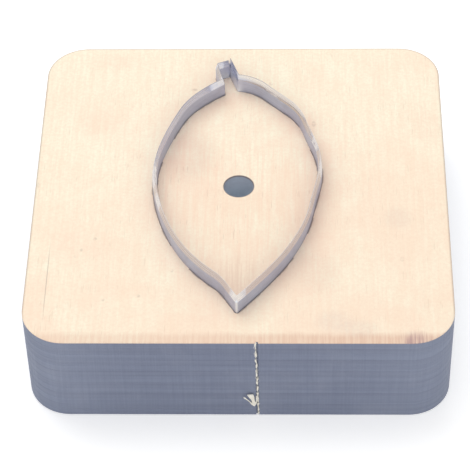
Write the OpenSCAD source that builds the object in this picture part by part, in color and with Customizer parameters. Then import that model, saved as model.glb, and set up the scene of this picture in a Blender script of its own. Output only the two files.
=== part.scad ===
// Steel rule die: a laser-cut die board that holds one bent steel rule in the outline of a leaf with a stalk.
// Frame: X to the right, Y to the back, Z up, origin in the middle of the board's underside. Millimetres and degrees.

/* [Board] */
// Width of the board, left to right
board_w = 69; // [60:0.5:100]
// Depth of the board, front to back
board_d = 69; // [62:0.5:100]
// Thickness of the board
board_t = 18; // [12:0.5:25]
// Radius of the board's four corners, seen from above
corner_r = 7; // [2:0.5:15]

/* [Knock-out hole] */
// Diameter of the hole through which a cut piece is pushed out
hole_d = 5; // [3:0.1:10]
// Place of the hole, left to right from the board's middle
hole_x = -0.3; // [-4:0.1:4]
// Place of the hole, front to back from the board's middle
hole_y = 0; // [-8:0.1:8]

/* [Rule] */
// Thickness of the steel strip
rule_t = 0.71; // [0.5:0.01:1.5]
// Height of the cutting edge above the board
edge_h = 3.7; // [2.5:0.1:8]
// Height of the ground bevel below the cutting edge
bevel_h = 1.2; // [0.6:0.05:2]
// Width of the flat left at the very edge
edge_flat = 0.06; // [0.03:0.01:0.2]
// Inner radius of the sharp bends
bend_in_r = 0.08; // [0.05:0.01:0.4]
// Outer radius of the sharp bends
bend_out_r = 0.4; // [0.2:0.05:1]
// Gap left where the strip's two ends butt
butt_gap = 0.12; // [0.05:0.01:0.4]

/* [Leaf] */
// Place of the leaf's tip, left to right from the board's middle
tip_x = -0.15; // [-3:0.05:3]
// Place of the leaf's tip, front of the board's middle
tip_y = 27.9; // [24:0.1:29]
// Length of the leaf from its tip to the middle of its neck
leaf_len = 51; // [46:0.1:54]
// Reach of the leaf's right side beyond its tip
belly_right = 13.05; // [11:0.05:18]
// Reach of the leaf's left side beyond its tip
belly_left = 14; // [11:0.1:18]
// Distance above the tip of the belly in the right side
belly_right_rise = 26.4; // [24:0.1:30]
// Distance above the tip of the belly in the left side
belly_left_rise = 25.4; // [22:0.1:31]
// Heading of the right side at the belly, going up
belly_right_dir = 77; // [70:0.5:88]
// Heading of the left side at the belly, going up
belly_left_dir = 98; // [88:0.5:104]
// Distance of the right shoulder below the neck
shoulder_right_drop = 5.6; // [4.5:0.1:8]
// Distance of the left shoulder below the neck
shoulder_left_drop = 8.3; // [7:0.1:11]
// Reach of the right shoulder beyond the tip
shoulder_right = 8.1; // [7:0.1:9.5]
// Reach of the left shoulder beyond the tip
shoulder_left = 10.4; // [8:0.1:12]
// Heading of the right side at its shoulder, going up
shoulder_right_dir = 136.5; // [128:0.5:145]
// Heading of the left side at its shoulder, going up
shoulder_left_dir = 66; // [45:0.5:75]
// Heading of the right side as it leaves the tip
tip_right_dir = 49; // [40:0.5:56]
// Heading of the left side as it leaves the tip
tip_left_dir = 121; // [112:0.5:136]
// Distance above the tip at which the left side curls out
curl_rise = 5.3; // [4:0.1:7]
// Reach of the curl to the left of the tip
curl_left = 3.7; // [3:0.1:5]
// Heading of the left side at the curl, going up
curl_dir = 139.5; // [130:0.5:145]
// Distance above the tip of the knee in the right side
knee_rise = 15.2; // [13:0.1:18]
// Reach of the knee to the right of the tip
knee_right = 10.25; // [9:0.05:11.5]
// Heading of the right side at the knee, going up
knee_dir = 68; // [62:0.5:74]
// Distance above the tip of the hip in the right side, where the leaf is widest
hip_rise = 35.4; // [33:0.1:38]
// Reach of the hip to the right of the tip
hip_right = 12.7; // [12:0.1:13.5]
// Heading of the right side at the hip, going up
hip_dir = 109.5; // [102:0.5:116]

/* [Stalk] */
// Place of the neck's middle, left of the leaf's tip
neck_left = 1.85; // [0:0.05:4]
// Width of the stalk at the neck, between the strip's middles
stalk_w = 3; // [2.4:0.05:5]
// Width of the stalk at its end, between the strip's middles
stalk_end_w = 2.55; // [2.4:0.05:5]
// Length of the stalk from the neck to its end
stalk_len = 4.1; // [3.4:0.1:6]
// Lean of the stalk to the left
stalk_lean = 17; // [0:0.5:25]
// Turn of the stalk's end wall
stalk_skew = 21; // [0:0.5:28]
// Heading of the right side as it reaches the neck
neck_right_dir = 170.5; // [160:0.5:178]
// Heading of the left side as it reaches the neck
neck_left_dir = 34.5; // [20:0.5:45]

/* [Kerf and bridges] */
// Clearance between the strip and each side of the kerf
kerf_clear = 0.03; // [0.01:0.01:0.1]
// Length of each uncut bridge along the strip
bridge_len = 6; // [3:0.5:8]
// Clearance between a bridge and each end of the notch over it
notch_clear = 0.3; // [0.1:0.1:1]
// Places of the bridges, as shares of the strip's length
bridge_at = [0.17, 0.37, 0.62, 0.82]; // [0:0.01:1]

/* [Snapped web] */
// Place of the snapped web on the front side, right of the middle
web_x = 3.05; // [-20:0.05:20]
// Width of the snapped web
web_w = 0.45; // [0.2:0.05:1]
// Depth to which the web is torn out
web_depth = 0.3; // [0.1:0.05:1]

/* [Hidden] */
$fn = 96;
// Overshoot of the cuts
over = 1;
// Largest turn and largest length between two sections of the strip
step_turn = 4;
step_len = 3;
// Sections round a sharp bend
bend_steps = 6;

half_t = rule_t / 2;
rule_h = board_t + edge_h;
kerf_half = half_t + kerf_clear;

// Unit vector of a heading, heading of a vector, and the shortest turn from one heading to another
function dir(a) = [cos(a), sin(a)];
function heading(v) = atan2(v.y, v.x);
function turn_of(a, b) = (b - a + 540) % 360 - 180;

// Points of the leaf, as [point, heading] knots in the order in which the strip runs
tip = [tip_x, -tip_y];
neck = tip + [-neck_left, leaf_len];
stalk_end = neck + stalk_len * dir(90 + stalk_lean);
neck_right = neck + stalk_w / 2 * dir(stalk_skew);
neck_left_pt = neck - stalk_w / 2 * dir(stalk_skew);
end_right = stalk_end + stalk_end_w / 2 * dir(stalk_skew);
end_left = stalk_end - stalk_end_w / 2 * dir(stalk_skew);
arm_right_dir = heading(neck_right - end_right);
arm_left_dir = heading(end_left - neck_left_pt);
right_shoulder = [[tip.x + shoulder_right, neck.y - shoulder_right_drop], shoulder_right_dir + 180];
right_hip = [tip + [hip_right, hip_rise], hip_dir + 180];
right_belly = [tip + [belly_right, belly_right_rise], belly_right_dir + 180];
right_knee = [tip + [knee_right, knee_rise], knee_dir + 180];
left_curl = [tip + [-curl_left, curl_rise], curl_dir];
left_belly = [tip + [-belly_left, belly_left_rise], belly_left_dir];
left_shoulder = [[tip.x - shoulder_left, neck.y - shoulder_left_drop], shoulder_left_dir];

// Sharp bends, as [corner, heading in, heading out]
bend_neck_right = [neck_right, arm_right_dir, neck_right_dir + 180];
bend_tip = [tip, tip_right_dir + 180, tip_left_dir];
bend_neck_left = [neck_left_pt, neck_left_dir, arm_left_dir];
bend_end_left = [end_left, arm_left_dir, stalk_skew];
// The corner at which the strip's two ends butt
butt = [end_right, stalk_skew, arm_right_dir];

// Where the strip begins and ends to bend, as knots
function bend_turn(b) = turn_of(b[1], b[2]);
function bend_reach(b) = (kerf_half + bend_in_r) * tan(abs(bend_turn(b)) / 2) + bend_in_r;
function bend_from(b) = [b[0] - bend_reach(b) * dir(b[1]), b[1]];
function bend_to(b) = [b[0] + bend_reach(b) * dir(b[2]), b[2]];

// One arc that leaves a with the given heading and ends at b, as [point, heading] stations without the first
function arc(a, start_dir, b) =
    let (chord = b - a, half_turn = turn_of(start_dir, heading(chord)))
    let (steps = ceil(max(abs(half_turn) * 2 / step_turn, norm(chord) / step_len)))
    [for (i = [1 : steps])
        let (u = i / steps, part = half_turn * u)
        let (reach = abs(half_turn) < 0.01 ? norm(chord) * u : norm(chord) * sin(part) / sin(half_turn))
        [a + reach * dir(start_dir + part), start_dir + 2 * part]];

// Two arcs that join knot p to knot q smoothly
function biarc(p, q) =
    let (t = dir(p[1]) + dir(q[1]), v = q[0] - p[0], c = t * t - 4, along = v * t)
    let (d = abs(c) < 0.000001 ? v * v / (2 * along) : (along - sqrt(along * along - c * (v * v))) / c)
    let (from = p[0] + d * dir(p[1]), to = q[0] - d * dir(q[1]), mid = (from + to) / 2)
    concat(arc(p[0], p[1], mid), arc(mid, heading(to - from), q[0]));

// Stations along a run of knots
function run(knots) = concat([knots[0]], [for (i = [1 : len(knots) - 1]) each biarc(knots[i - 1], knots[i])]);

// A section is [left point, right point] of a strip of the given half thickness
function sections(stations, half) =
    [for (s = stations) [s[0] + half * dir(s[1] + 90), s[0] - half * dir(s[1] + 90)]];

// Sections round a sharp bend: the inner face creases and the outer face is rounded
function bend(b, half) =
    let (turn = bend_turn(b), side = sign(turn), slant = cos(turn / 2), inward = dir(b[1] + turn / 2 + side * 90))
    [for (i = [0 : bend_steps])
        let (out = dir(b[1] + turn * i / bend_steps - side * 90))
        let (inner = b[0] + inward * (half + bend_in_r) / slant + bend_in_r * out)
        let (outer = b[0] - inward * (half - bend_out_r) / slant + bend_out_r * out)
        side > 0 ? [inner, outer] : [outer, inner]];

// Section on the line that halves a sharp corner
function mitre(b, half) =
    let (turn = bend_turn(b), reach = half / cos(turn / 2) * dir(b[1] + turn / 2 + 90))
    [b[0] + reach, b[0] - reach];

// Knots of the leaf's two sides, in the order in which the strip runs
right_side =
    [bend_to(bend_neck_right), right_shoulder, right_hip, right_belly, right_knee, bend_from(bend_tip)];
left_side = [bend_to(bend_tip), left_curl, left_belly, left_shoulder, bend_from(bend_neck_left)];

// The loop from the butt down the right side, round the tip and up the left side, without the butt's own corner
function loop(half) = concat(
    sections(run([bend_to(butt), bend_from(bend_neck_right)]), half),
    bend(bend_neck_right, half),
    sections(run(right_side), half),
    bend(bend_tip, half),
    sections(run(left_side), half),
    bend(bend_neck_left, half),
    sections(run([bend_to(bend_neck_left), bend_from(bend_end_left)]), half),
    bend(bend_end_left, half),
    sections(run([bend_to(bend_end_left), wall_stop]), half));

// The strip: its right arm runs past the end wall, and the end wall stops a gap short of the right arm
butt_slant = abs(sin(bend_turn(butt)));
wall_dir = dir(stalk_skew) / butt_slant;
wall_stop = [bend_from(butt)[0] - butt_gap * wall_dir, stalk_skew];
corner = mitre(butt, half_t);
strip = concat(
    [[corner[0], corner[0] - rule_t * wall_dir]],
    loop(half_t),
    [[corner[0] - (rule_t + butt_gap) * wall_dir, corner[1] - butt_gap * wall_dir]]);

// Middle of the strip and its length so far, for placing the bridges
middle = [for (s = strip) (s[0] + s[1]) / 2];
last = len(middle) - 1;
lengths = [for (i = 0, sum = 0; i <= last; sum = sum + norm(middle[min(i + 1, last)] - middle[i]), i = i + 1) sum];
track_x = [for (i = [0 : last]) [lengths[i], middle[i].x]];
track_y = [for (i = [0 : last]) [lengths[i], middle[i].y]];
function at(s) = [lookup(s, track_x), lookup(s, track_y)];

// Boxes of the given length and height across the strip at each bridge
module at_bridges(length, height) {
    for (share = bridge_at) {
        s = share * lengths[last];
        translate(at(s))
            rotate(heading(at(s + bridge_len / 2) - at(s - bridge_len / 2)))
                translate([-length / 2, -rule_t, -over])
                    cube([length, 2 * rule_t, height + over]);
    }
}

// The slot cut by the laser: a closed ring, broken only by the bridges
module kerf() {
    ring = concat([mitre(butt, kerf_half)], loop(kerf_half));
    difference() {
        translate([0, 0, -over])
            linear_extrude(board_t + 2 * over)
                polygon([for (r = ring) r[0]]);
        translate([0, 0, -2 * over])
            linear_extrude(board_t + 4 * over)
                polygon([for (r = ring) r[1]]);
        at_bridges(bridge_len, board_t + 2 * over);
    }
}

module plate() {
    linear_extrude(board_t) {
        square([board_w - 2 * corner_r, board_d], center = true);
        square([board_w, board_d - 2 * corner_r], center = true);
        for (x = [-1, 1], y = [-1, 1])
            translate([x * (board_w / 2 - corner_r), y * (board_d / 2 - corner_r)])
                circle(corner_r);
    }
}

module die_board() {
    color("burlywood")
        difference() {
            plate();
            kerf();
            translate([hole_x, hole_y, -over])
                cylinder(d = hole_d, h = board_t + 2 * over);
            translate([web_x - web_w / 2, -board_d / 2 - over, -over])
                cube([web_w, web_depth + over, board_t + 2 * over]);
        }
}

// The strip's outline across its thickness: [share from left to right, height]
flat_share = edge_flat / rule_t / 2;
profile = [
    [0, 0],
    [1, 0],
    [1, rule_h - bevel_h],
    [0.5 + flat_share, rule_h],
    [0.5 - flat_share, rule_h],
    [0, rule_h - bevel_h]
];

module bevelled_strip() {
    sides = len(profile);
    points = [for (c = strip, q = profile) let (p = c[0] + q[0] * (c[1] - c[0])) [p.x, p.y, q[1]]];
    walls = [for (i = [0 : last - 1], j = [0 : sides - 1])
        let (k = (j + 1) % sides, a = i * sides, b = a + sides)
        each [[a + j, a + k, b + k], [a + j, b + k, b + j]]];
    start_cap = [for (j = [sides - 1 : -1 : 0]) j];
    end_cap = [for (j = [0 : sides - 1]) last * sides + j];
    polyhedron(points, concat([start_cap], walls, [end_cap]));
}

module cutting_rule() {
    color("lightslategray")
        difference() {
            bevelled_strip();
            at_bridges(bridge_len + 2 * notch_clear, board_t);
        }
}

die_board();
cutting_rule();
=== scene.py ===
import math

import bmesh
import bpy
import numpy as np
from mathutils.geometry import delaunay_2d_cdt
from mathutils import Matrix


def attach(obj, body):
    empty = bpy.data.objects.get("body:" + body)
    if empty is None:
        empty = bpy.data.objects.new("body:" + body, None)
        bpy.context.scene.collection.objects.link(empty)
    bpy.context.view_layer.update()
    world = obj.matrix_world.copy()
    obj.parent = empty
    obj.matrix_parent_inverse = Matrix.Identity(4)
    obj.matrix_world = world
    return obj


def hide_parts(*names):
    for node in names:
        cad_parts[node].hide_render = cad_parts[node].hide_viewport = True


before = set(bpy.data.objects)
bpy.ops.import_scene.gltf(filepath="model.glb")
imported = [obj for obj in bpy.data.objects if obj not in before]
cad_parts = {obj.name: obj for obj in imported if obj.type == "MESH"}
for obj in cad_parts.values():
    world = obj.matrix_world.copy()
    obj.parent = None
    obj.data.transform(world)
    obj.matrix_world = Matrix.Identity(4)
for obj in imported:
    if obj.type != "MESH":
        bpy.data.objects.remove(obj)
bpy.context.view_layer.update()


# Die board
# A block of birch die plywood, 18 mm thick, that holds the steel. A laser cuts its outline, the slot for the
# rule and the push-out hole right through, so every cut wall is charred and the veneer beside a cut scorched.
# Sizes are in millimetres and degrees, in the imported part's own frame.
mm = 0.001
board_half = 34.5
board_thick = 18.0
corner_radius = 7.0
arris = 0.13
ply_count = 13
glue_line_depth = 0.05
glue_line_half = 0.12
hole_at = np.array([-0.3, 0.0])
hole_radius = 2.5
web_x = 3.05
web_width = 0.45
web_depth = 0.3
rule_thick = 0.71
slot_clearance = 0.03
slot_half = rule_thick / 2 + slot_clearance
bend_inner = 0.08
bend_outer = 0.4
butt_gap = 0.12
bridge_shares = (0.17, 0.37, 0.62, 0.82)
bridge_length = 6.0


def toward(heading):
    """Unit vector of a heading."""
    return np.array([math.cos(math.radians(heading)), math.sin(math.radians(heading))])


def heading_of(vector):
    return math.degrees(math.atan2(vector[1], vector[0]))


def turn_between(first, second):
    return (second - first + 540) % 360 - 180


# The leaf's outline, along the middle of the steel strip, as (point, heading) knots
tip = np.array([-0.15, -27.9])
neck = tip + (-1.85, 51.0)
stalk_length = 4.1
stalk_heading = 107.0
stalk_skew = 21.0
neck_half = 1.5
end_half = 1.275
stalk_end = neck + stalk_length * toward(stalk_heading)
neck_right = neck + neck_half * toward(stalk_skew)
neck_left = neck - neck_half * toward(stalk_skew)
end_right = stalk_end + end_half * toward(stalk_skew)
end_left = stalk_end - end_half * toward(stalk_skew)
arm_right = heading_of(neck_right - end_right)
arm_left = heading_of(end_left - neck_left)
right_shoulder = (np.array([tip[0] + 8.1, neck[1] - 5.6]), 316.5)
right_hip = (tip + (12.7, 35.4), 289.5)
right_belly = (tip + (13.05, 26.4), 257.0)
right_knee = (tip + (10.25, 15.2), 248.0)
left_curl = (tip + (-3.7, 5.3), 139.5)
left_belly = (tip + (-14.0, 25.4), 98.0)
left_shoulder = (np.array([tip[0] - 10.4, neck[1] - 8.3]), 66.0)

# Sharp bends of the strip, as (corner, heading in, heading out). Its two ends butt at the last one.
neck_right_bend = (neck_right, arm_right, 350.5)
tip_bend = (tip, 229.0, 121.0)
neck_left_bend = (neck_left, 34.5, arm_left)
end_left_bend = (end_left, arm_left, stalk_skew)
butt_bend = (end_right, stalk_skew, arm_right)

# The most that the strip turns, in degrees, or runs on between two of its stations
station_turn = 1.5
station_gap = 0.8


def arc_stations(start, heading, end):
    """Points and headings along one arc, without its start."""
    chord = end - start
    length = np.linalg.norm(chord)
    half_turn = turn_between(heading, heading_of(chord))
    steps = math.ceil(max(abs(half_turn) * 2 / station_turn, length / station_gap))
    stations = []
    for step in range(1, steps + 1):
        part = half_turn * step / steps
        reach = length * step / steps
        if abs(half_turn) > 0.01:
            reach = length * math.sin(math.radians(part)) / math.sin(math.radians(half_turn))
        stations.append((start + reach * toward(heading + part), heading + 2 * part))
    return stations


def biarc_stations(first, second):
    """The two arcs that carry the strip smoothly from one knot to the next."""
    lean = toward(first[1]) + toward(second[1])
    gap = second[0] - first[0]
    bow = lean @ lean - 4
    run = gap @ lean
    if abs(bow) < 1e-6:
        reach = gap @ gap / (2 * run)
    else:
        reach = (run - math.sqrt(run * run - bow * (gap @ gap))) / bow
    leave = first[0] + reach * toward(first[1])
    arrive = second[0] - reach * toward(second[1])
    middle = (leave + arrive) / 2
    first_arc = arc_stations(first[0], first[1], middle)
    return first_arc + arc_stations(middle, heading_of(arrive - leave), second[0])


def bend_knots(bend):
    """Where the strip starts and stops to bend."""
    corner, heading_in, heading_out = bend
    turn = abs(turn_between(heading_in, heading_out))
    reach = (slot_half + bend_inner) * math.tan(math.radians(turn / 2)) + bend_inner
    start = (corner - reach * toward(heading_in), heading_in)
    stop = (corner + reach * toward(heading_out), heading_out)
    return start, stop


def run_sections(knots, half):
    """Left and right points of the strip along a run of knots."""
    stations = [knots[0]]
    for first, second in zip(knots, knots[1:]):
        stations += biarc_stations(first, second)
    return [(p + half * toward(h + 90), p - half * toward(h + 90)) for p, h in stations]


def bend_sections(bend, half, steps=12):
    """Left and right points round a sharp bend, creased on its inside and rounded on its outside."""
    corner, heading_in, heading_out = bend
    turn = turn_between(heading_in, heading_out)
    side = math.copysign(1, turn)
    slant = math.cos(math.radians(turn / 2))
    inward = toward(heading_in + turn / 2 + side * 90)
    sections = []
    for step in range(steps + 1):
        out = toward(heading_in + turn * step / steps - side * 90)
        inner = corner + inward * (half + bend_inner) / slant + bend_inner * out
        outer = corner - inward * (half - bend_outer) / slant + bend_outer * out
        sections.append((inner, outer) if side > 0 else (outer, inner))
    return sections


def mitre_section(bend, half):
    """Left and right points on the line that halves a corner."""
    corner, heading_in, heading_out = bend
    turn = turn_between(heading_in, heading_out)
    reach = half / math.cos(math.radians(turn / 2)) * toward(heading_in + turn / 2 + 90)
    return corner + reach, corner - reach


wall_step = toward(stalk_skew) / abs(math.sin(math.radians(turn_between(butt_bend[1], butt_bend[2]))))
wall_stop = (bend_knots(butt_bend)[0][0] - butt_gap * wall_step, stalk_skew)


def leaf_sections(half):
    """The strip from the butt down the right side, round the tip and up the left side to the stalk's end."""
    right_side = [bend_knots(neck_right_bend)[1], right_shoulder, right_hip, right_belly, right_knee]
    right_side += [bend_knots(tip_bend)[0]]
    left_side = [bend_knots(tip_bend)[1], left_curl, left_belly, left_shoulder, bend_knots(neck_left_bend)[0]]
    return (
        run_sections([bend_knots(butt_bend)[1], bend_knots(neck_right_bend)[0]], half)
        + bend_sections(neck_right_bend, half)
        + run_sections(right_side, half)
        + bend_sections(tip_bend, half)
        + run_sections(left_side, half)
        + bend_sections(neck_left_bend, half)
        + run_sections([bend_knots(neck_left_bend)[1], bend_knots(end_left_bend)[0]], half)
        + bend_sections(end_left_bend, half)
        + run_sections([bend_knots(end_left_bend)[1], wall_stop], half)
    )


butt_corner = mitre_section(butt_bend, rule_thick / 2)
strip_start = (butt_corner[0], butt_corner[0] - rule_thick * wall_step)
strip_end = (butt_corner[0] - (rule_thick + butt_gap) * wall_step, butt_corner[1] - butt_gap * wall_step)
strip = np.array([strip_start] + leaf_sections(rule_thick / 2) + [strip_end])
strip_middle = strip.mean(axis=1)
strip_steps = np.linalg.norm(np.diff(strip_middle, axis=0), axis=1)
strip_length = np.concatenate([[0], np.cumsum(strip_steps)])
butt_mitre = mitre_section(butt_bend, slot_half)
slot_ring = np.array([butt_mitre] + leaf_sections(slot_half) + [butt_mitre])


def section_at(sections, length):
    """Left and right points of a strip at a length along it."""
    flat = sections.reshape(len(sections), 4)
    return np.array([np.interp(length, strip_length, flat[:, i]) for i in range(4)]).reshape(2, 2)


def slot_loop(start, stop):
    """Outline of the slot from one bridge to the next, walked with the wood on the left."""
    if start < stop:
        inside = slot_ring[(strip_length > start) & (strip_length < stop)]
    else:
        inside = np.concatenate([slot_ring[strip_length > start], slot_ring[1:][strip_length[1:] < stop]])
    across = np.concatenate([[section_at(slot_ring, start)], inside, [section_at(slot_ring, stop)]])
    return np.concatenate([across[:, 0], across[::-1, 1]])


def split_long_edges(loop, longest):
    """The same closed loop, with points added so that no edge is longer than this."""
    points = []
    for first, second in zip(loop, np.roll(loop, -1, axis=0)):
        count = max(1, math.ceil(np.linalg.norm(second - first) / longest))
        points += [first + (second - first) * i / count for i in range(count)]
    return np.array(points)


def sunk(loop, depth):
    """The closed loop moved into the wood on its left by a depth for each point."""
    ahead = np.roll(loop, -1, axis=0) - loop
    ahead /= np.linalg.norm(ahead, axis=1)[:, None]
    behind = np.roll(ahead, 1, axis=0)
    leftward = np.stack([-(ahead + behind)[:, 1], (ahead + behind)[:, 0]], axis=1)
    leftward /= np.maximum(1 + (ahead * behind).sum(axis=1), 0.3)[:, None]
    return loop + leftward * np.reshape(depth, (-1, 1))


corner_steps = np.radians(np.arange(0, 91, 5))
outline = []
for quarter, (side_x, side_y) in enumerate([(1, -1), (1, 1), (-1, 1), (-1, -1)]):
    middle = (board_half - corner_radius) * np.array([side_x, side_y])
    for angle in corner_steps + math.radians(90 * (quarter - 1)):
        outline.append(middle + corner_radius * np.array([math.cos(angle), math.sin(angle)]))
groove_left = web_x - web_width / 2
groove_right = web_x + web_width / 2
outline += [
    np.array([groove_left, -board_half]),
    np.array([groove_left, web_depth - board_half]),
    np.array([groove_right, web_depth - board_half]),
    np.array([groove_right, -board_half]),
]
outline = split_long_edges(np.array(outline), longest=0.7)
hole_turns = np.linspace(0, -2 * math.pi, 72, endpoint=False)
hole_loop = hole_at + hole_radius * np.stack([np.cos(hole_turns), np.sin(hole_turns)], axis=1)
bridge_middles = [share * strip_length[-1] for share in bridge_shares]
slot_loops = []
for here, onward in zip(bridge_middles, bridge_middles[1:] + bridge_middles[:1]):
    slot_loops.append(slot_loop(here + bridge_length / 2, onward - bridge_length / 2))

# Rows of a cut wall from the underside to the top: (depth into the wood, share of the arris, height)
low_arris = [(0.0, 1.0, 0.0), (0.0, 0.3, 0.3 * arris), (0.0, 0.0, arris)]
high_arris = [(depth, share, board_thick - height) for depth, share, height in reversed(low_arris)]
glue_rows = []
for glue_line in range(1, ply_count):
    height = board_thick * glue_line / ply_count
    for offset, depth in ((-glue_line_half, 0.0), (0.0, glue_line_depth), (glue_line_half, 0.0)):
        glue_rows.append((depth, 0.0, height + offset))
outer_rows = low_arris + glue_rows + high_arris
hole_rows = low_arris + high_arris
slot_rows = [(0.0, 0.0, 0.0), (0.0, 0.0, board_thick)]

board_random = np.random.default_rng(7)
board_points = []
board_faces = []
board_finish = []
rims = []


def add_wall(loop, rows, softened, bare_rows=0):
    """Skins a cut wall, bare at its topmost rows, and keeps its rim for the two faces of the board."""
    count = len(loop)
    first = len(board_points)
    for depth, share, height in rows:
        for point in sunk(loop, depth + share * softened):
            board_points.append((point[0], point[1], height))
    for row in range(len(rows) - 1):
        for i in range(count):
            low = first + row * count
            k = (i + 1) % count
            board_faces.append((low + i, low + k, low + count + k, low + count + i))
            board_finish.append(1 if row < len(rows) - 1 - bare_rows else 0)
    rims.append(sunk(loop, rows[-1][1] * softened))


wear = np.convolve(board_random.random(len(outline) + 8), np.ones(9) / 9, "valid")
add_wall(outline, outer_rows, arris * (0.4 + 1.2 * wear), bare_rows=2)
add_wall(hole_loop, hole_rows, np.full(len(hole_loop), 0.5 * arris))
for loop in slot_loops:
    add_wall(loop, slot_rows, np.zeros(len(loop)))


def gap_to(points, loops):
    """Distance of each point from the nearest edge of some closed loops."""
    starts = np.concatenate(loops)
    edges = np.concatenate([np.roll(loop, -1, axis=0) - loop for loop in loops])
    squares = np.maximum((edges * edges).sum(axis=1), 1e-12)
    gaps = []
    for part in np.array_split(points, max(1, len(points) // 2000)):
        offset = part[:, None, :] - starts
        share = np.clip((offset * edges).sum(axis=2) / squares, 0, 1)
        gaps.append(np.linalg.norm(offset - share[..., None] * edges, axis=2).min(axis=1))
    return np.concatenate(gaps)


def in_wood(points, loops):
    """Whether each point lies inside the outline and outside the hole and the slot."""
    starts = np.concatenate(loops)
    ends = np.concatenate([np.roll(loop, -1, axis=0) for loop in loops])
    rise = ends[:, 1] - starts[:, 1]
    rise = np.where(rise == 0, 1e-12, rise)
    inside = []
    for part in np.array_split(points, max(1, len(points) // 2000)):
        spans = (starts[:, 1] > part[:, 1, None]) != (ends[:, 1] > part[:, 1, None])
        cross = starts[:, 0] + (part[:, 1, None] - starts[:, 1]) * (ends[:, 0] - starts[:, 0]) / rise
        inside.append((spans & (part[:, 0, None] < cross)).sum(axis=1) % 2 == 1)
    return np.concatenate(inside)


# The two veneered faces: one mesh of small triangles that meets every rim, used for the top and the underside
face_step = 0.6
face_jitter = 0.15
rim_margin = 0.25
lattice = np.arange(-board_half + face_step / 2, board_half, face_step)
lattice = np.stack(np.meshgrid(lattice, lattice), axis=2).reshape(-1, 2)
lattice = lattice + board_random.uniform(-face_jitter, face_jitter, lattice.shape)
lattice = lattice[in_wood(lattice, rims)]
lattice = lattice[gap_to(lattice, rims) > rim_margin]
face_points = np.concatenate(rims + [lattice])
rim_edges = []
for rim in rims:
    first = len(rim_edges)
    rim_edges += [(first + i, first + (i + 1) % len(rim)) for i in range(len(rim))]
face_points, _, triangles, _, _, _ = delaunay_2d_cdt(face_points.tolist(), rim_edges, [], 0, 1e-7)
face_points = np.array([tuple(point) for point in face_points])
triangles = np.array(triangles)
triangles = triangles[in_wood(face_points[triangles].mean(axis=1), rims)]
corner_a, corner_b, corner_c = (face_points[triangles[:, i]] for i in range(3))
turned = np.cross(corner_b - corner_a, corner_c - corner_a) < 0
triangles[turned] = triangles[turned][:, ::-1]
for height, order in ((board_thick, triangles), (0.0, triangles[:, ::-1])):
    board_faces += [tuple(face) for face in (order + len(board_points)).tolist()]
    board_finish += [0] * len(order)
    board_points += [(x, y, height) for x, y in face_points]

board_mesh = bpy.data.meshes.new("die_board_dressed")
board_mesh.from_pydata((np.array(board_points) * mm).tolist(), [], board_faces)
board_mesh.polygons.foreach_set("material_index", board_finish)
welder = bmesh.new()
welder.from_mesh(board_mesh)
bmesh.ops.remove_doubles(welder, verts=welder.verts, dist=0.001 * mm)
welder.to_mesh(board_mesh)
welder.free()
board_mesh.polygons.foreach_set("use_smooth", [True] * len(board_mesh.polygons))
board_mesh.set_sharp_from_angle(angle=math.radians(20))

# What each point of the wood carries for the marks of heat and wear: its distance from each cut, in
# millimetres, and whether it lies inside the leaf
board_flat = np.array([vertex.co[:2] for vertex in board_mesh.vertices]) / mm
leaf_loop = strip_middle[strip_middle[:, 1] < neck[1] + 1]
inside_leaf = in_wood(board_flat, [leaf_loop]) * np.clip(gap_to(board_flat, [leaf_loop]) - 0.5, 0, 1)
for name, values in (
    ("slot_gap", gap_to(board_flat, slot_loops)),
    ("hole_gap", gap_to(board_flat, [hole_loop])),
    ("rim_gap", gap_to(board_flat, [outline])),
    ("leaf_side", inside_leaf),
):
    board_mesh.attributes.new(name, "FLOAT", "POINT").data.foreach_set("value", values.astype(np.float32))


def srgb(red, green, blue):
    """A colour given as the eight-bit values seen on screen, as the linear colour that a socket takes."""
    shares = [value / 255 for value in (red, green, blue)]
    return [s / 12.92 if s <= 0.04045 else ((s + 0.055) / 1.055) ** 2.4 for s in shares] + [1.0]


def add_node(tree, kind, inputs=(), **settings):
    """Adds a node, sets its options, and sets or links each input given as (socket, value or output)."""
    made = tree.nodes.new(kind)
    for name, value in settings.items():
        setattr(made, name, value)
    for socket, value in inputs:
        if isinstance(value, bpy.types.NodeSocket):
            tree.links.new(value, made.inputs[socket])
        else:
            made.inputs[socket].default_value = value
    return made


def calc(tree, operation, first, *more):
    """Works an operation on one value, or works further values into the first in turn."""
    for value in more or (0.0,):
        first = add_node(tree, "ShaderNodeMath", [(0, first), (1, value)], operation=operation).outputs[0]
    return first


def times(tree, *values):
    return calc(tree, "MULTIPLY", *values)


def plus(tree, *values):
    return calc(tree, "ADD", *values)


def minus(tree, *values):
    return calc(tree, "SUBTRACT", *values)


def combined(tree, x=0.0, y=0.0, z=0.0):
    """A vector made of three values."""
    return add_node(tree, "ShaderNodeCombineXYZ", [(0, x), (1, y), (2, z)]).outputs[0]


def vector_calc(tree, operation, first, second=(0.0, 0.0, 0.0)):
    """Vector arithmetic. To scale a vector, the second input is a value."""
    socket = "Scale" if operation == "SCALE" else 1
    made = add_node(tree, "ShaderNodeVectorMath", [(0, first), (socket, second)], operation=operation)
    return made.outputs["Value" if operation == "LENGTH" else "Vector"]


def ramp(tree, value, low, high, at_low=0.0, at_high=1.0):
    """Goes smoothly from one value to another while the input goes from low to high."""
    inputs = [(0, value), (1, low), (2, high), (3, at_low), (4, at_high)]
    return add_node(tree, "ShaderNodeMapRange", inputs, interpolation_type="SMOOTHSTEP").outputs[0]


def tint(tree, share, base, colour):
    """Lays one colour over another."""
    return add_node(tree, "ShaderNodeMix", [(0, share), (6, base), (7, colour)], data_type="RGBA").outputs[2]


def noise(tree, vector, scale, detail=2.0, rough=0.5, twist=0.0):
    inputs = [("Vector", vector), ("Scale", scale), ("Detail", detail)]
    inputs += [("Roughness", rough), ("Distortion", twist)]
    return add_node(tree, "ShaderNodeTexNoise", inputs).outputs[0]


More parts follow.
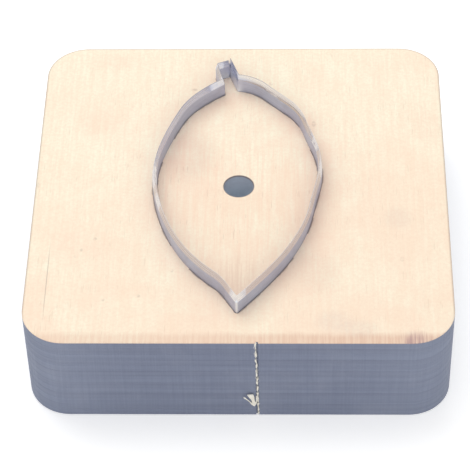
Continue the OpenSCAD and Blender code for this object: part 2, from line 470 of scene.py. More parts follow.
def new_group(name, tree_kind, inputs, outputs):
    """An empty node group with named inputs and outputs, as (tree, what it is given, what it puts out)."""
    tree = bpy.data.node_groups.new(name, tree_kind)
    for label, kind, *value in inputs:
        socket = tree.interface.new_socket(label, in_out="INPUT", socket_type="NodeSocket" + kind)
        if value:
            socket.default_value = value[0]
    for label, kind in outputs:
        tree.interface.new_socket(label, in_out="OUTPUT", socket_type="NodeSocket" + kind)
    return tree, tree.nodes.new("NodeGroupInput").outputs, tree.nodes.new("NodeGroupOutput").inputs


# Grain that the veneer, the charred walls and the torn fibres share: long streaks, short open pores and slow
# changes of tone, in millimetres across and along the fibres
grain_group, given, put_out = new_group(
    "wood_grain",
    "ShaderNodeTree",
    [
        ("Across", "Float", 0.0),
        ("Along", "Float", 0.0),
        ("Layer", "Float", 0.0),
        ("Streak Width", "Float", 0.5),
        ("Streak Length", "Float", 9.0),
    ],
    [("Streak", "Float"), ("Pore", "Float"), ("Tone", "Float")],
)
across = calc(grain_group, "DIVIDE", given["Across"], given["Streak Width"])
along = calc(grain_group, "DIVIDE", given["Along"], given["Streak Length"])


def grain_place(across_share, along_share):
    """A place in the grain, with the streaks drawn out or pushed together."""
    wide = times(grain_group, across, across_share)
    return combined(grain_group, wide, times(grain_group, along, along_share), given["Layer"])


streak = noise(grain_group, grain_place(1.0, 1.0), 1.0, 3.0, 0.6, 0.15)
pore = noise(grain_group, grain_place(2.6, 3.6), 1.0, 1.0, 0.5)
slow_place = grain_place(0.05, 0.9)
tone = noise(grain_group, slow_place, 1.0, 3.0, 0.55, 0.6)
crowd = ramp(grain_group, noise(grain_group, slow_place, 2.3, 2.0), 0.4, 0.65, 0.74, 0.62)
open_pore = ramp(grain_group, minus(grain_group, pore, crowd), 0.0, 0.08)
grain_group.links.new(ramp(grain_group, streak, 0.3, 0.7), put_out["Streak"])
grain_group.links.new(open_pore, put_out["Pore"])
grain_group.links.new(ramp(grain_group, tone, 0.32, 0.68), put_out["Tone"])


def grained(tree, across, along, layer, width, length):
    """The outputs of the grain, for a place in millimetres across and along the fibres."""
    inputs = [("Across", across), ("Along", along), ("Layer", layer)]
    inputs += [("Streak Width", width), ("Streak Length", length)]
    return add_node(tree, "ShaderNodeGroup", inputs, node_tree=grain_group).outputs


# Soot that the veneer, the charred walls and the steel share: soft broken patches
soot_group, given, put_out = new_group(
    "soot_patches",
    "ShaderNodeTree",
    [("Vector", "Vector", (0.0, 0.0, 0.0)), ("Patch Size", "Float", 3.0), ("Cover", "Float", 0.5)],
    [("Soot", "Float")],
)
patch_scale = calc(soot_group, "DIVIDE", 1.0, given["Patch Size"])
patches = noise(soot_group, given["Vector"], patch_scale, 4.0, 0.6, 0.3)
above_edge = minus(soot_group, patches, minus(soot_group, 1.0, given["Cover"]))
soot_group.links.new(ramp(soot_group, above_edge, -0.12, 0.12), put_out["Soot"])


def sooted(tree, vector, patch_size, cover):
    """How sooty each place is."""
    inputs = [("Vector", vector), ("Patch Size", patch_size), ("Cover", cover)]
    return add_node(tree, "ShaderNodeGroup", inputs, node_tree=soot_group).outputs["Soot"]


def new_finish(name):
    """An empty material, as (material, tree, shader, place in millimetres, the place's x, y and z)."""
    material = bpy.data.materials.new(name)
    material.use_nodes = True
    tree = material.node_tree
    shader = tree.nodes["Principled BSDF"]
    place = vector_calc(tree, "SCALE", add_node(tree, "ShaderNodeTexCoord").outputs["Object"], 1 / mm)
    return material, tree, shader, place, add_node(tree, "ShaderNodeSeparateXYZ", [(0, place)]).outputs


def carried(tree, name):
    """A value that the mesh carries at its points."""
    return add_node(tree, "ShaderNodeAttribute", attribute_name=name).outputs["Fac"]


def add_relief(tree, shader, height, strength, depth):
    """Fine relief on a shader, as deep as this in millimetres."""
    inputs = [("Height", height), ("Strength", strength), ("Distance", depth * mm)]
    bump = add_node(tree, "ShaderNodeBump", inputs)
    tree.links.new(bump.outputs[0], shader.inputs["Normal"])
    return bump


def add_object(name, data):
    """A new object in the scene."""
    made = bpy.data.objects.new(name, data)
    bpy.context.scene.collection.objects.link(made)
    return made


# Sanded birch veneer, its grain running front to back
veneer, tree, shader, place, (x, y, z) = new_finish("sanded_veneer")
grain = grained(tree, x, y, z, width=0.55, length=11.0)
drift = plus(tree, times(tree, x, 0.003), times(tree, y, -0.009), 0.12)
warm = plus(tree, drift, times(tree, grain["Tone"], 0.62))
wood = tint(tree, ramp(tree, warm, 0.05, 1.0), srgb(253, 246, 223), srgb(253, 234, 211))
inside = carried(tree, "leaf_side")
outside = minus(tree, 1.0, inside)
rubbed = plus(tree, times(tree, inside, ramp(tree, y, 3.0, 15.0, 0.3, 0.0)), 0.36)
wood = tint(tree, times(tree, grain["Streak"], rubbed), wood, srgb(250, 221, 196))
open_pores = times(tree, grain["Pore"], rubbed, 0.6)
wood = tint(tree, open_pores, wood, srgb(206, 180, 158))
fleck = ramp(tree, noise(tree, place, 2.2, 2.0), 0.3, 0.7, 0.0, 0.34)
wood = tint(tree, fleck, wood, srgb(246, 218, 194))

# Heat of the laser: a rosy tan that fades out a few millimetres from the slot, and a thin broken burnt line
heat_noise = ramp(tree, noise(tree, place, 0.16, 2.0, 0.5), 0.3, 0.7, 0.32, 0.58)
heat = times(tree, ramp(tree, carried(tree, "slot_gap"), 0.0, 5.0, 1.0, 0.0), heat_noise)
front_inside = times(tree, inside, ramp(tree, y, 5.0, -5.0, 0.0, 0.35))
back_outside = times(tree, outside, ramp(tree, minus(tree, y, x), 12.0, 24.0, 0.0, 0.5))
front_outside = times(tree, outside, ramp(tree, plus(tree, x, y), -9.0, -20.0, 0.0, 0.6))
cooler = minus(tree, 1.0, front_inside, back_outside, front_outside)
wood = tint(tree, times(tree, heat, cooler), wood, srgb(240, 204, 182))
burn_reach = plus(tree, times(tree, sooted(tree, place, patch_size=2.5, cover=0.5), 0.16), 0.07)
burnt = ramp(tree, calc(tree, "DIVIDE", carried(tree, "slot_gap"), burn_reach), 0.2, 1.4, 0.6, 0.0)
burnt = times(tree, burnt, ramp(tree, y, 22.3, 23.6, 1.0, 0.2))
wood = tint(tree, burnt, wood, srgb(116, 102, 104))
rim_burn = ramp(tree, carried(tree, "rim_gap"), 0.05, 0.4, 0.5, 0.0)
rim_burn = times(tree, rim_burn, ramp(tree, y, -31.0, -27.0))
wood = tint(tree, rim_burn, wood, srgb(150, 132, 124))
hole_burn = ramp(tree, carried(tree, "hole_gap"), 0.03, 0.2, 0.85, 0.0)
wood = tint(tree, hole_burn, wood, srgb(118, 104, 102))

# Tan scorch along the front edge, darker to the right and darker in streaks by the right corner
from_front = plus(tree, y, board_half)
wavy = times(tree, noise(tree, place, 0.35, 2.0), 0.7)
front_band = ramp(tree, plus(tree, from_front, wavy), 1.4, 2.9, 1.0, 0.0)
rightward = ramp(tree, x, -20.0, 22.0, 0.5, 0.95)
top_side = ramp(tree, z, 16.0, 17.0)
streaky = ramp(tree, grain["Streak"], 0.2, 0.8, 0.25, 1.0)
front_streaks = ramp(tree, streaky, 0.25, 1.0, 0.78, 1.1)
front_share = times(tree, front_band, rightward, top_side, front_streaks)
wood = tint(tree, front_share, wood, srgb(231, 199, 176))


def blot(x, y, half_width, half_length):
    """A soft oval on the top face, 1 in its middle and 0 outside."""
    centred = vector_calc(tree, "SUBTRACT", place, (x, y, board_thick))
    sized = vector_calc(tree, "MULTIPLY", centred, (1 / half_width, 1 / half_length, 1.0))
    return ramp(tree, vector_calc(tree, "LENGTH", sized), 0.3, 1.0, 1.0, 0.0)


def blots(ovals):
    """Several soft ovals together."""
    return calc(tree, "MAXIMUM", *[blot(*oval) for oval in ovals])


corner_burn = times(tree, blot(28.2, -34.4, 3.4, 3.0), streaky)
wood = tint(tree, times(tree, corner_burn, 0.7), wood, srgb(174, 142, 146))

# Clouds on the top: smoke inside the tip, tan and rosy wood, and soft grey soot to the right and in front
tip_smoke = times(tree, blot(-0.2, -19.8, 5.0, 5.5), streaky)
wood = tint(tree, times(tree, tip_smoke, 0.2), wood, srgb(208, 184, 166))
tan_cloud = times(tree, blot(-9.2, 7.2, 6.5, 8.5), inside)
tan_cloud = calc(tree, "MAXIMUM", tan_cloud, times(tree, blot(12.2, -19.2, 5.5, 6.5), 0.6))
wood = tint(tree, times(tree, tan_cloud, 0.32), wood, srgb(215, 175, 160))
rosy = blots([
    (-24.0, 15.3, 6.0, 4.5),
    (-7.3, -0.2, 5.0, 4.0),
    (-2.4, 4.3, 4.0, 4.5),
    (-26.0, -14.1, 6.5, 6.0),
    (-32.0, -21.8, 3.0, 3.5),
    (-11.8, -15.0, 3.5, 6.0),
    (-22.8, 31.0, 6.0, 3.0),
    (-5.6, -28.0, 4.0, 3.5),
    (13.2, -14.1, 4.0, 5.5),
    (13.0, -24.0, 6.0, 3.5),
    (17.8, -0.4, 2.5, 4.5),
    (31.9, 14.0, 3.0, 6.5),
])
rosy = times(tree, rosy, ramp(tree, noise(tree, place, 0.45, 3.0), 0.3, 0.6, 0.45, 1.0))
wood = tint(tree, times(tree, rosy, 0.25), wood, srgb(248, 212, 190))
grey_cloud = times(tree, blot(26.0, -7.4, 3.2, 3.4), 0.14)
wood = tint(tree, grey_cloud, wood, srgb(206, 184, 176))
cloudy = ramp(tree, noise(tree, place, 2.0, 2.0), 0.3, 0.7, 0.6, 1.0)
smoke = plus(tree, blot(15.2, -30.0, 4.0, 3.2), blot(19.2, -31.6, 4.2, 2.6))
wood = tint(tree, times(tree, smoke, cloudy, 0.15), wood, srgb(188, 172, 174))

# Specks of char and one fine crack that the top shows
marks = blots([
    (-23.7, -12.1, 0.45, 0.5),
    (-25.8, -14.6, 0.3, 0.5),
    (-26.7, -16.1, 0.3, 0.35),
    (-21.6, -25.5, 0.35, 0.4),
    (-16.0, -24.6, 0.4, 0.5),
    (-10.8, -19.2, 0.4, 0.4),
    (26.5, -16.6, 0.5, 0.7),
    (4.9, 25.2, 0.6, 0.5),
    (12.4, 15.0, 0.5, 1.1),
    (-8.4, 23.7, 0.8, 0.45),
    (-34.1, 0.3, 0.4, 0.9),
])
marks = times(tree, marks, ramp(tree, noise(tree, place, 1.6, 2.0), 0.35, 0.6, 0.1, 1.0))
wood = tint(tree, times(tree, marks, 0.25), wood, srgb(150, 130, 122))
wood = tint(tree, times(tree, blot(-31.0, -21.4, 0.11, 10.5), 0.46), wood, srgb(154, 132, 126))
tree.links.new(wood, shader.inputs["Base Color"])
dullness = plus(tree, times(tree, grain["Streak"], 0.14), 0.6)
tree.links.new(dullness, shader.inputs["Roughness"])
relief = minus(tree, times(tree, grain["Streak"], 0.3), grain["Pore"])
add_relief(tree, shader, relief, strength=0.25, depth=0.06)
shader.inputs["Specular IOR Level"].default_value = 0.2

# Laser-cut plywood: slate-dark char with faint level bands of the plies and fine upright marks of the beam
char, tree, shader, place, (x, y, z) = new_finish("charred_cut")
round_the_board = plus(tree, x, times(tree, y, 1.37))
plies = grained(tree, z, round_the_board, 0.0, width=0.7, length=40.0)
beam = grained(tree, round_the_board, z, 0.0, width=0.35, length=14.0)
ply_index = calc(tree, "FLOOR", times(tree, z, ply_count / board_thick))
odd_ply = calc(tree, "PINGPONG", ply_index, 1.0)
soot = tint(tree, plies["Streak"], srgb(122, 129, 150), srgb(131, 139, 160))
soot = tint(tree, times(tree, odd_ply, 0.2), soot, srgb(114, 119, 137))
soot = tint(tree, times(tree, beam["Streak"], 0.16), soot, srgb(104, 108, 126))
ash = sooted(tree, place, patch_size=9.0, cover=0.42)
soot = tint(tree, times(tree, ash, 0.16), soot, srgb(158, 162, 176))
# Painted highlight: the charred sides are painted paler towards the left and right corners, a painted sheen
# of light
corner_painted_sheen = ramp(tree, calc(tree, "ABSOLUTE", x), 13.0, 32.0, 0.0, 0.2)
soot = tint(tree, corner_painted_sheen, soot, srgb(160, 168, 187))
in_hole = ramp(tree, carried(tree, "hole_gap"), 0.0, 0.6, 1.0, 0.0)
depth = calc(tree, "MINIMUM", z, minus(tree, board_thick, z))
# Painted light in the push-out hole: its wall is painted pale, and paler the deeper it goes, to lift the
# shade inside the hole
hole_painted_light = ramp(tree, depth, 0.1, 4.8, 0.42, 1.0)
soot = tint(tree, times(tree, in_hole, hole_painted_light), soot, srgb(226, 234, 243))
hole_rim = times(tree, in_hole, ramp(tree, depth, 0.05, 0.45, 0.8, 0.0))
soot = tint(tree, hole_rim, soot, srgb(126, 108, 102))
tree.links.new(soot, shader.inputs["Base Color"])
dullness = plus(tree, times(tree, beam["Streak"], 0.15), 0.55)
tree.links.new(dullness, shader.inputs["Roughness"])
relief = plus(tree, beam["Streak"], times(tree, plies["Streak"], 0.6))
add_relief(tree, shader, relief, strength=0.3, depth=0.08)
shader.inputs["Specular IOR Level"].default_value = 0.3

board_mesh.materials.append(veneer)
board_mesh.materials.append(char)
board = add_object("die_board_dressed", board_mesh)
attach(board, "root")
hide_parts("die_board")


# Snapped web
# The thin uncut web that held the block in its sheet. It was broken by hand, which left a torn pale line of
# bare fibres down the charred front, and one forked splinter still hanging on.
web_random = np.random.default_rng(11)
torn_points = []
torn_faces = []


def add_sliver(path, half_width, half_depth):
    """A rough spindle of wood along a path of (x, y, z) points, thin at both ends."""
    path = np.array(path, float)
    count = 7
    first = len(torn_points)
    for i, point in enumerate(path):
        here = i / (len(path) - 1)
        swell = max(0.12, math.sin(math.pi * min(here * 1.6 + 0.1, 1.5 - here)) ** 0.6)
        for k in range(count):
            angle = 2 * math.pi * k / count
            rough = swell * web_random.uniform(0.75, 1.15)
            offset = (math.cos(angle) * half_width * rough, -math.sin(angle) * half_depth * rough, 0)
            torn_points.append(point + offset)
    for i in range(len(path) - 1):
        for k in range(count):
            low = first + i * count
            n = (k + 1) % count
            torn_faces.append((low + k, low + count + k, low + count + n, low + n))
    torn_faces.append(tuple(first + k for k in range(count)))
    torn_faces.append(tuple(len(torn_points) - 1 - k for k in range(count)))


front = -board_half
tear_foot_x = 3.26
tear_head_x = 2.78
tear_lean = 0.0275
tear_wander = 0.12
sliver_step = 0.22
sliver_sink = 0.14
fibre_sink = 0.06
for low, high in (
    (0.05, 0.7), (0.9, 3.0), (3.2, 5.6), (6.1, 7.1), (7.7, 9.25), (9.65, 11.3), (11.8, 13.9), (14.3, 17.85)
):
    steps = max(4, int((high - low) / sliver_step))
    heights = np.linspace(low, high, steps)
    lean = tear_foot_x - heights * tear_lean
    wander = web_random.uniform(-tear_wander, tear_wander, steps + 2)
    wander = np.convolve(wander, np.ones(3) / 3, "valid")
    sliver = [(x + w, front + sliver_sink, z) for x, w, z in zip(lean, wander, heights)]
    add_sliver(sliver, half_width=0.2, half_depth=0.2)
splinter_root = np.array([2.5, front - 0.02, 2.3])
for end_x, end_z, lift, half_width in (
    (0.88, 5.35, 0.7, 0.16),
    (1.58, 5.85, 0.58, 0.21),
    (1.9, 5.8, 0.48, 0.23),
    (2.2, 5.7, 0.38, 0.21),
    (2.95, 5.05, 0.16, 0.17),
):
    shares = np.linspace(0, 1, 9)
    bow = np.sin(shares * math.pi) * 0.14
    run_x = end_x - splinter_root[0]
    run_z = end_z - splinter_root[2]
    prong = [
        splinter_root + (share * run_x + sag, -lift * share ** 0.8, share * run_z)
        for share, sag in zip(shares, bow)
    ]
    add_sliver(prong, half_width, half_depth=0.13)
torn_mesh = bpy.data.meshes.new("snapped_web")
torn_mesh.from_pydata((np.array(torn_points) * mm).tolist(), [], torn_faces)
torn = add_object("snapped_web", torn_mesh)

# Bare torn birch, pale, with its streaks raised and a little darker
torn_wood, tree, shader, place, (x, y, z) = new_finish("torn_birch")
grain = grained(tree, x, z, y, width=0.12, length=1.6)
wood = tint(tree, grain["Streak"], srgb(255, 252, 242), srgb(249, 242, 227))
wood = tint(tree, times(tree, grain["Pore"], 0.35), wood, srgb(220, 202, 178))
tree.links.new(wood, shader.inputs["Base Color"])
tree.links.new(ramp(tree, grain["Streak"], 0.0, 1.0, 0.7, 0.9), shader.inputs["Roughness"])
add_relief(tree, shader, grain["Streak"], strength=0.5, depth=0.05)
shader.inputs["Specular IOR Level"].default_value = 0.2

# Loose fibres along the tear
fuzz, given, put_out = new_group(
    "torn_fibres",
    "GeometryNodeTree",
    [
        ("Geometry", "Geometry"),
        ("Fibre Count", "Int"),
        ("Fibre Length", "Float"),
        ("Fibre Radius", "Float"),
        ("Spread", "Float"),
        ("Seed", "Int"),
        ("Finish", "Material"),
    ],
    [("Geometry", "Geometry")],
)
line_inputs = [("Count", given["Fibre Count"])]
line_inputs += [("Start Location", (tear_foot_x * mm, (front + fibre_sink) * mm, 0.6 * mm))]
line_inputs += [("Offset", (tear_head_x * mm, (front + fibre_sink) * mm, 17.3 * mm))]
line = add_node(fuzz, "GeometryNodeMeshLine", line_inputs, mode="END_POINTS")


def random_between(kind, low, high):
    """A random value for each fibre."""
    first = 2 if kind == "FLOAT" else 0
    inputs = [(first, low), (first + 1, high), ("Seed", given["Seed"])]
    return add_node(fuzz, "FunctionNodeRandomValue", inputs, data_type=kind).outputs[first // 2]


sideways = random_between("FLOAT_VECTOR", (-1.0, -0.9, -1.0), (1.0, 0.3, 1.0))
spread = vector_calc(fuzz, "SCALE", sideways, given["Spread"])
scattered = add_node(fuzz, "GeometryNodeSetPosition", [(0, line.outputs[0]), ("Offset", spread)])
fibre_inputs = [("Vertices", 5), ("Radius Top", 0.006 * mm), ("Radius Bottom", given["Fibre Radius"])]
fibre = add_node(fuzz, "GeometryNodeMeshCone", fibre_inputs + [("Depth", given["Fibre Length"])])
lean = random_between("FLOAT_VECTOR", (-0.05, -0.28, 0.0), (0.3, 0.28, 6.28))
size = random_between("FLOAT", 0.35, 1.2)
placed_inputs = [("Points", scattered.outputs[0]), ("Instance", fibre.outputs[0])]
placed = add_node(fuzz, "GeometryNodeInstanceOnPoints", placed_inputs + [("Rotation", lean), ("Scale", size)])
joined = add_node(fuzz, "GeometryNodeJoinGeometry")
fuzz.links.new(placed.outputs[0], joined.inputs[0])
fuzz.links.new(given["Geometry"], joined.inputs[0])


def close_group(tree, geometry):
    """Ends a Geometry Nodes group with real meshes in the finish that is given to it."""
    real = add_node(tree, "GeometryNodeRealizeInstances", [(0, geometry)])
    finish_inputs = [(0, real.outputs[0]), ("Material", given["Finish"])]
    tree.links.new(add_node(tree, "GeometryNodeSetMaterial", finish_inputs).outputs[0], put_out[0])


close_group(fuzz, joined.outputs[0])


def settle(piece, group, values):
    """Runs a Geometry Nodes group on a piece with these inputs, and keeps the result as its plain mesh."""
    modifier = piece.modifiers.new(group.name, "NODES")
    modifier.node_group = group
    for socket in group.interface.items_tree:
        if socket.in_out == "INPUT" and socket.name in values:
            modifier[socket.identifier] = values[socket.name]
    bpy.context.view_layer.update()
    evaluated = piece.evaluated_get(bpy.context.evaluated_depsgraph_get())
    settled = bpy.data.meshes.new_from_object(evaluated)
    piece.modifiers.clear()
    settled.name = piece.name
    piece.data = settled


fibre_values = {"Fibre Count": 70, "Fibre Length": 0.7 * mm, "Fibre Radius": 0.035 * mm, "Spread": 0.2 * mm}
settle(torn, fuzz, fibre_values | {"Seed": 3, "Finish": torn_wood})
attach(torn, "root")


# Cutting rule
# One strip of hardened steel rule, 21.7 mm high, ground to a centre bevel along its upper edge. It is bent to
# the leaf on a bender, notched from below over the bridges, and pressed into the slot with its ends butted.
edge_above_board = 3.7
rule_height = board_thick + edge_above_board
bevel_height = 1.2
edge_flat = 0.06
notch_play = 0.3
notch_half = bridge_length / 2 + notch_play
notch_slope = 0.02
tip_highlight_reach = 0.45

# Stations of the strip: its own, and a pair at each end of every notch, where its foot steps up to the board
stations = [(length, 0.0) for length in strip_length]
for middle in bridge_middles:
    within = [length for length, _ in stations if abs(length - middle) < notch_half - notch_slope]
    stations = [s for s in stations if abs(s[0] - middle) >= notch_half + notch_slope]
    stations += [(length, board_thick) for length in within]
    for side in (-1, 1):
        stations.append((middle + side * notch_half, board_thick))
        stations.append((middle + side * (notch_half + notch_slope), 0.0))
stations.sort()
sections = np.array([section_at(strip, length) for length, _ in stations])
path_points = np.concatenate([sections.mean(axis=1), np.zeros((len(sections), 1))], axis=1)
path_mesh = bpy.data.meshes.new("cutting_rule_dressed")
path_edges = [(i, i + 1) for i in range(len(path_points) - 1)]
path_mesh.from_pydata((path_points * mm).tolist(), path_edges, [])
across_strip = np.concatenate([sections[:, 1] - sections[:, 0], np.zeros((len(sections), 1))], axis=1) * mm


def away_from(spot):
    """How far each station is from a spot, along the strip."""
    spot_length = strip_length[np.argmin(np.linalg.norm(strip_middle - np.array(spot), axis=1))]
    return np.array([abs(length - spot_length) for length, _ in stations])


tip_nearness = np.maximum(0.0, 1 - away_from(tip) / tip_highlight_reach)
# Painted highlights on the bevel: spots along the strip as (place, reach along the strip, strength)
glint = np.zeros(len(stations))
for spot, reach, strength in (
    (tip, 1.3, 1.0),
    ((-14.2, 0.4), 3.2, 0.9),
    ((-13.6, -6.0), 2.0, 0.7),
    ((-4.1, 21.9), 1.4, 1.0),
    ((-4.1, 26.7), 0.5, 0.8),
    ((5.0, 20.3), 2.2, 0.3),
    ((12.6, 7.0), 2.6, 0.55),
    ((13.3, 1.0), 2.6, 0.5),
):
    glint = np.maximum(glint, strength * np.exp(-((away_from(spot) / reach) ** 2)))
path_values = (
    ("across", "FLOAT_VECTOR", "vector", across_strip.ravel()),
    ("middle", "FLOAT_VECTOR", "vector", (path_points * mm).ravel()),
    ("foot", "FLOAT", "value", np.array([foot for _, foot in stations]) * mm),
    ("strip_mm", "FLOAT", "value", np.array([length for length, _ in stations])),
    ("bend", "FLOAT", "value", tip_nearness),
    ("glint", "FLOAT", "value", glint),
)
for name, kind, field, values in path_values:
    path_mesh.attributes.new(name, kind, "POINT").data.foreach_set(field, values.astype(np.float32))
rule = add_object("cutting_rule_dressed", path_mesh)

# The strip: a section of six corners, swept along the path and set on the places that the path carries
sweep, given, put_out = new_group(
    "swept_rule",
    "GeometryNodeTree",
    [
        ("Path", "Geometry"),
        ("Rule Height", "Float"),
        ("Bevel Height", "Float"),
        ("Edge Share", "Float"),
        ("Finish", "Material"),
    ],
    [("Geometry", "Geometry")],
)
crest = given["Rule Height"]
shoulder = minus(sweep, crest, given["Bevel Height"])
left_of_edge = times(sweep, given["Edge Share"], -1.0)
corner_index = add_node(sweep, "GeometryNodeInputIndex").outputs[0]
profile = (
    ("share", (-0.5, 0.5, 0.5, given["Edge Share"], left_of_edge, -0.5)),
    ("height", (0.0, 0.0, shoulder, crest, crest, shoulder)),
)


def keep(geometry, name, value):
    """The geometry with a value kept on its points."""
    inputs = [("Geometry", geometry), ("Name", name), ("Value", value)]
    return add_node(sweep, "GeometryNodeStoreNamedAttribute", inputs, data_type="FLOAT").outputs[0]


def kept(name, kind="FLOAT"):
    return add_node(sweep, "GeometryNodeInputNamedAttribute", [("Name", name)], data_type=kind).outputs[0]


section = add_node(sweep, "GeometryNodeMeshLine", [("Count", 6), ("Offset", (0.0, 0.0, mm))]).outputs[0]
for name, values in profile:
    choice = add_node(sweep, "GeometryNodeIndexSwitch", [("Index", corner_index)], data_type="FLOAT")
    while len(choice.index_switch_items) < len(values):
        choice.index_switch_items.new()
    for i, value in enumerate(values):
        if isinstance(value, bpy.types.NodeSocket):
            sweep.links.new(value, choice.inputs[i + 1])
        else:
            choice.inputs[i + 1].default_value = value
    section = keep(section, name, choice.outputs[0])
section_line = add_node(sweep, "GeometryNodeMeshToCurve", [(0, section)]).outputs[0]
loop_inputs = [(0, section_line), ("Cyclic", True)]
section_loop = add_node(sweep, "GeometryNodeSetSplineCyclic", loop_inputs).outputs[0]
path_line = add_node(sweep, "GeometryNodeMeshToCurve", [(0, given["Path"])]).outputs[0]
swept_inputs = [("Curve", path_line), ("Profile Curve", section_loop), ("Fill Caps", True)]
swept = add_node(sweep, "GeometryNodeCurveToMesh", swept_inputs).outputs[0]
aside = vector_calc(sweep, "SCALE", kept("across", "FLOAT_VECTOR"), kept("share"))
upward = combined(sweep, z=calc(sweep, "MAXIMUM", kept("height"), kept("foot")))
level = vector_calc(sweep, "ADD", kept("middle", "FLOAT_VECTOR"), aside)
position = vector_calc(sweep, "ADD", level, upward)
shaped = add_node(sweep, "GeometryNodeSetPosition", [(0, swept), ("Position", position)]).outputs[0]
# Where the outer face of the tip's bend gets its painted highlight
outer_side = calc(sweep, "MAXIMUM", times(sweep, kept("share"), -2.0), 0.0)
shaped = keep(shaped, "tip_highlight", times(sweep, kept("bend"), outer_side))
shaped = keep(shaped, "inner", times(sweep, kept("share"), 2.0))
close_group(sweep, add_node(sweep, "GeometryNodeFlipFaces", [(0, shaped)]).outputs[0])

# Satin rule steel: grey flanks with rolling lines, a brighter ground bevel, soot and painted contact shade at
# the foot, and painted highlights, reflections and shade on the bevel, the edge, the tip and inside the stalk
steel, tree, shader, place, (x, y, z) = new_finish("rule_steel_satin")
above_board = minus(tree, z, board_thick)
strip_place = carried(tree, "strip_mm")
drawn = combined(tree, times(tree, strip_place, 0.12), times(tree, z, 5.0))
rolling = noise(tree, drawn, 1.0, 3.0, 0.6)
unrolled = combined(tree, strip_place, z, 3.0)
stain = sooted(tree, unrolled, patch_size=3.5, cover=0.45)
bevel_foot = rule_height - bevel_height
bevel_mask = ramp(tree, z, bevel_foot - 0.04, bevel_foot + 0.04)
painted_edge_band = ramp(tree, z, rule_height - 0.16, rule_height - 0.04)
from_end = calc(tree, "MINIMUM", strip_place, minus(tree, strip_length[-1], strip_place))
ground = ramp(tree, from_end, 3.5, 8.0, 0.5, 1.0)
metal = tint(tree, ramp(tree, rolling, 0.3, 0.7), srgb(181, 190, 215), srgb(194, 202, 226))
metal = tint(tree, times(tree, stain, 0.3), metal, srgb(160, 161, 178))
# Painted light inside the stalk: its inner faces are painted pale and bluish, paler at the foot and with a
# tone of their own on the right arm, to lift the shade in that narrow box
stalk_painted_light = tint(tree, ramp(tree, above_board, 0.2, 2.3), srgb(230, 240, 255), srgb(204, 211, 234))
right_arm_painted_light = ramp(tree, strip_place, 3.6, 4.8, 1.0, 0.0)
stalk_painted_light = tint(tree, right_arm_painted_light, stalk_painted_light, srgb(234, 238, 253))
stalk_painted_light_share = times(tree, ramp(tree, from_end, 4.2, 5.6, 0.9, 0.0), ramp(tree, carried(tree, "inner"), 0.1, 0.5))
metal = tint(tree, stalk_painted_light_share, metal, stalk_painted_light)
# Soot and painted contact shade: the lowest 0.6 mm of the rule above the board is painted darker, except near
# the strip's ends
foot_soot_and_shade = times(tree, ramp(tree, above_board, 0.0, 0.6, 0.3, 0.0), ramp(tree, from_end, 4.5, 6.5))
metal = tint(tree, foot_soot_and_shade, metal, srgb(132, 126, 130))
# Painted reflections on the ground bevel, set by side: painted bluer along the back left and warmer along the
# back right, with a plainer tone near the strip's ends
back_left_painted_light = ramp(tree, minus(tree, y, x), 8.0, 20.0)
back_right_painted_light = times(tree, ramp(tree, y, 10.0, 15.0), ramp(tree, x, -1.5, 0.0))
ground_tone_and_reflection = tint(tree, back_left_painted_light, srgb(206, 202, 208), srgb(204, 208, 228))
ground_tone_and_reflection = tint(tree, back_right_painted_light, ground_tone_and_reflection, srgb(207, 197, 191))
ground_tone_and_reflection = tint(tree, ramp(tree, from_end, 5.0, 8.0, 1.0, 0.0), ground_tone_and_reflection, srgb(200, 198, 206))
metal = tint(tree, times(tree, bevel_mask, ground), metal, ground_tone_and_reflection)
# Painted highlights: near-white glints on the bevel at the spots that the path carries, broken up by noise,
# and a painted lit band along the upper bevel at the back right, brighter towards the stalk
broken = ramp(tree, noise(tree, unrolled, 0.8, 1.0), 0.3, 0.65, 0.35, 1.0)
painted_glint_spots = times(tree, carried(tree, "glint"), broken, bevel_mask)
painted_lit_edge = times(tree, ramp(tree, z, bevel_foot, rule_height - 0.1), back_right_painted_light)
painted_lit_edge = times(tree, painted_lit_edge, ramp(tree, y, 18.0, 22.5, 0.45, 0.9))
painted_glints = calc(tree, "MAXIMUM", painted_glint_spots, painted_lit_edge)
metal = tint(tree, painted_glints, metal, srgb(252, 242, 229))
# Painted highlight along the cutting edge: a thin pale line, painted instead as a dark line of shade along
# the back left
painted_edge_light = tint(tree, back_left_painted_light, srgb(228, 224, 222), srgb(150, 148, 158))
metal = tint(tree, times(tree, painted_edge_band, 0.55), metal, painted_edge_light)
# Painted highlight: a bright bluish line down the outer face of the bend at the tip
metal = tint(tree, ramp(tree, carried(tree, "tip_highlight"), 0.5, 1.0, 0.0, 0.9), metal, srgb(236, 244, 255))
tree.links.new(metal, shader.inputs["Base Color"])
dullness = plus(tree, times(tree, rolling, 0.16), ramp(tree, bevel_mask, 0.0, 1.0, 0.3, 0.2))
tree.links.new(dullness, shader.inputs["Roughness"])
shader.inputs["Metallic"].default_value = 0.75
# Where the glints are painted, the shading normal is tipped up as well
facing = add_node(tree, "ShaderNodeNewGeometry").outputs["Normal"]
rounded = vector_calc(tree, "ADD", facing, combined(tree, z=times(tree, painted_glints, 1.6)))
bump = add_relief(tree, shader, rolling, strength=0.25, depth=0.03)
tree.links.new(vector_calc(tree, "NORMALIZE", rounded), bump.inputs["Normal"])

rule_values = {"Rule Height": rule_height * mm, "Bevel Height": bevel_height * mm}
settle(rule, sweep, rule_values | {"Edge Share": edge_flat / rule_thick / 2, "Finish": steel})
rule.data.polygons.foreach_set("use_smooth", [True] * len(rule.data.polygons))
rule.data.set_sharp_from_angle(angle=math.radians(12))
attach(rule, "root")
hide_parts("cutting_rule")


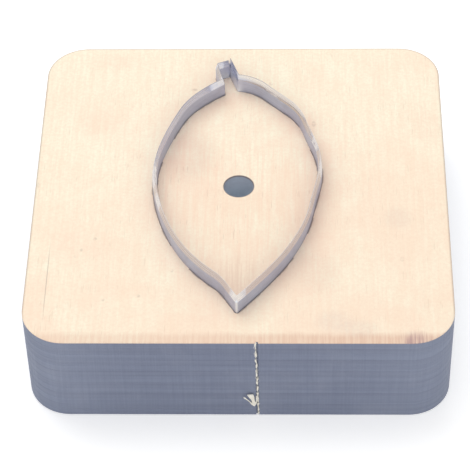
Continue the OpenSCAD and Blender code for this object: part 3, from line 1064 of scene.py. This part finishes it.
# Stage
# A plain white floor under soft studio light, seen from the photograph's camera. The floor stays white to the
# camera and to polished steel, and still takes the shadow of the block.
def shown(tree):
    """1 for what the camera sees, also in a reflection or through a piece, and 0 for light alone."""
    path = add_node(tree, "ShaderNodeLightPath").outputs
    return calc(tree, "MAXIMUM", path["Is Camera Ray"], path["Is Glossy Ray"], path["Is Transmission Ray"])


floor_mesh = bpy.data.meshes.new("floor")
floor_mesh.from_pydata([(-2, -2, 0), (2, -2, 0), (2, 2, 0), (-2, 2, 0)], [], [(0, 1, 2, 3)])
floor = add_object("floor", floor_mesh)
floor.location.z = -0.02 * mm
floor_paint = bpy.data.materials.new("white_floor")
floor_paint.use_nodes = True
tree = floor_paint.node_tree
shader = tree.nodes["Principled BSDF"]
shader.inputs["Base Color"].default_value = (0.9, 0.9, 0.9, 1.0)
shader.inputs["Roughness"].default_value = 0.8
shader.inputs["Specular IOR Level"].default_value = 0.1
shader.inputs["Emission Color"].default_value = (1.0, 1.0, 1.0, 1.0)
tree.links.new(times(tree, shown(tree), 0.36), shader.inputs["Emission Strength"])
floor_mesh.materials.append(floor_paint)

world = bpy.data.worlds.new("studio")
bpy.context.scene.world = world
world.use_nodes = True
tree = world.node_tree
tree.nodes["Background"].inputs["Color"].default_value = (1.0, 1.0, 1.0, 1.0)
tree.links.new(ramp(tree, shown(tree), 0.0, 1.0, 0.62, 1.0), tree.nodes["Background"].inputs["Strength"])

for name, place, size, power in (
    ("overhead_softbox", (-0.16, 0.32, 0.62), 0.6, 2.46),
    ("front_fill", (0.1, -0.75, 0.35), 0.5, 1.3),
):
    lamp = bpy.data.lights.new(name, "AREA")
    lamp.size = size
    lamp.energy = power
    lamp_object = add_object(name, lamp)
    lamp_object.location = place
    lamp_object.rotation_euler = lamp_object.location.to_track_quat("Z", "Y").to_euler()
    lamp_object.visible_glossy = False

camera_data = bpy.data.cameras.new("photo_camera")
camera_data.sensor_width = 36.0
camera_data.lens = 165.86
camera_data.clip_start = 0.01
camera = add_object("photo_camera", camera_data)
camera.location = (8.2045 * mm, -254.74 * mm, 277.126 * mm)
camera.rotation_euler = (math.radians(43.23), math.radians(1.051), math.radians(0.985))
bpy.context.scene.camera = camera
bpy.context.scene.view_settings.view_transform = "Standard"
